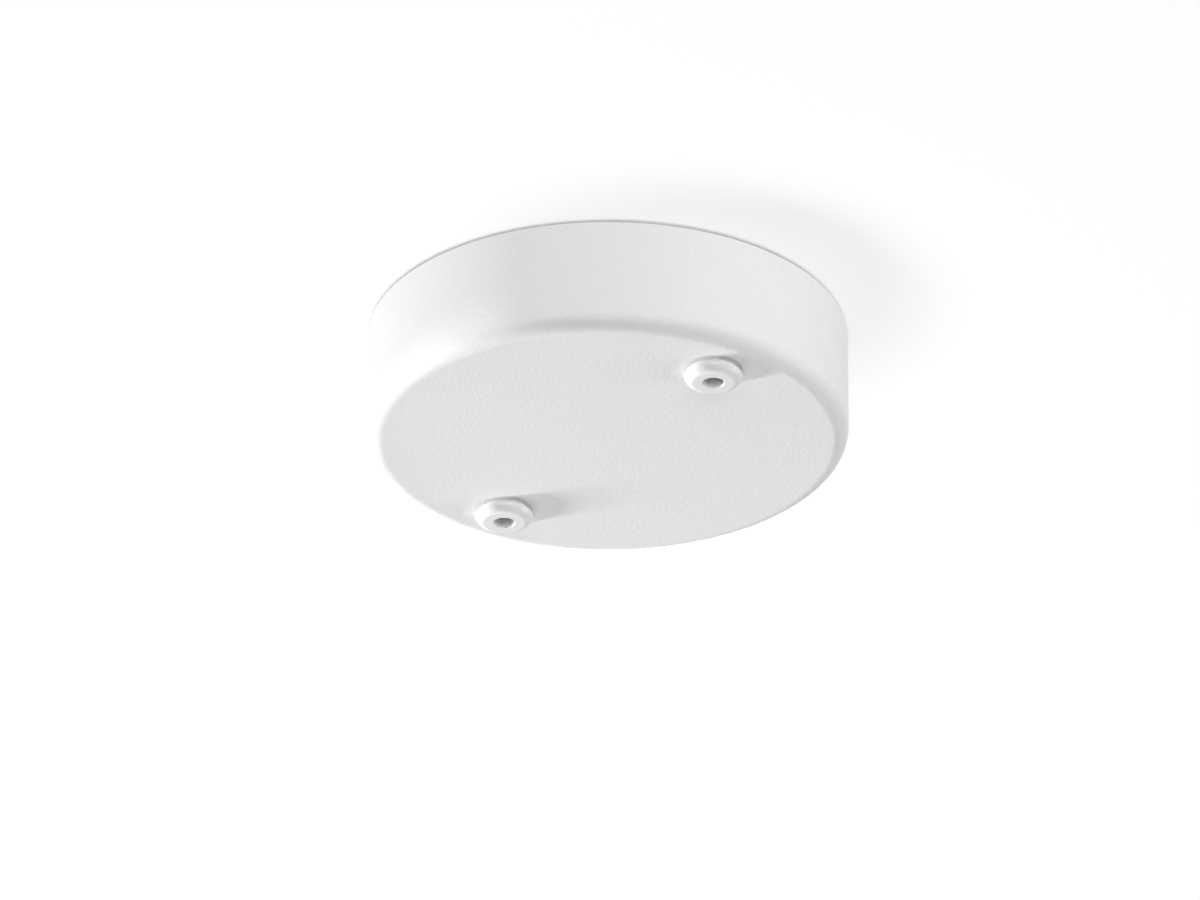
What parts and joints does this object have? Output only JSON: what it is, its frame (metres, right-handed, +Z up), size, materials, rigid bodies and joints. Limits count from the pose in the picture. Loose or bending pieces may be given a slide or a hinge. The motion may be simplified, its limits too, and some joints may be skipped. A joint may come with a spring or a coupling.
{
  "type": "electrical ceiling rose",
  "caption": "Round white ceiling rose with domed cord outlets: a drawn canopy on a mounting plate that carries terminals, cord clamps and magnets.",
  "frame": {"origin": "centre of the cable entry, in the plane of the ceiling", "axes": "+Z up into the ceiling; the two cord outlets lie on the X axis; the terminal block is on the -Y side"},
  "size_m": [0.12, 0.12, 0.0333],
  "materials": {
    "canopy_powder_coat": "white polyester powder coat on drawn steel, matte, fine orange-peel texture",
    "bush_plastic": "white moulded polyamide, satin",
    "zinc_plated_steel": "bright zinc plating on pressed steel",
    "zinc_plated_fasteners": "bright zinc plating on turned and cold-headed steel",
    "nickel_plating": "nickel plating, bright",
    "terminal_polyamide": "natural moulded polyamide, slightly translucent look",
    "terminal_brass": "turned brass, uncoated",
    "clamp_polyamide": "white glass-filled polyamide, matte",
    "grommet_rubber": "black rubber, matte"
  },
  "bodies": {
    "plate": {"mounting_plate": "zinc_plated_steel", "cable_entry_grommet": "grommet_rubber", "terminal_block_housing": "terminal_polyamide", "terminal_screws": "zinc_plated_fasteners", "terminal_block_screws": "zinc_plated_fasteners", "earth_clamp_plate": "terminal_brass", "earth_lock_washer": "zinc_plated_fasteners", "earth_screw": "terminal_brass", "magnet_standoff_screws": "zinc_plated_fasteners", "terminal_sleeve_live": "terminal_brass", "terminal_sleeve_neutral": "terminal_brass", "terminal_sleeve_earth": "terminal_brass", "cord_clamp_base_left": "clamp_polyamide", "cord_clamp_base_right": "clamp_polyamide", "magnet_standoff_1": "zinc_plated_fasteners", "magnet_cup_1": "nickel_plating", "magnet_disc_1": "nickel_plating", "magnet_standoff_2": "zinc_plated_fasteners", "magnet_cup_2": "nickel_plating", "magnet_disc_2": "nickel_plating", "magnet_standoff_3": "zinc_plated_fasteners", "magnet_cup_3": "nickel_plating", "magnet_disc_3": "nickel_plating"},
    "canopy": {"canopy_shell": "canopy_powder_coat", "outlet_bush_left": "bush_plastic", "outlet_washer_left": "zinc_plated_fasteners", "outlet_nut_left": "zinc_plated_fasteners", "outlet_bush_right": "bush_plastic", "outlet_washer_right": "zinc_plated_fasteners", "outlet_nut_right": "zinc_plated_fasteners"},
    "clamp_left": {"cord_clamp_saddle_left": "clamp_polyamide", "cord_clamp_screws_left": "zinc_plated_fasteners"},
    "clamp_right": {"cord_clamp_saddle_right": "clamp_polyamide", "cord_clamp_screws_right": "zinc_plated_fasteners"}
  },
  "joints": [
    {"name": "canopy_drop", "type": "slide", "parent": "plate", "child": "canopy", "axis": [0, 0, -1], "range_m": [0, 0.09]},
    {"name": "clamp_left_close", "type": "slide", "parent": "plate", "child": "clamp_left", "axis": [0, 0, 1], "range_m": [0, 0.0032]},
    {"name": "clamp_right_close", "type": "slide", "parent": "plate", "child": "clamp_right", "axis": [0, 0, 1], "range_m": [0, 0.0032]}
  ]
}
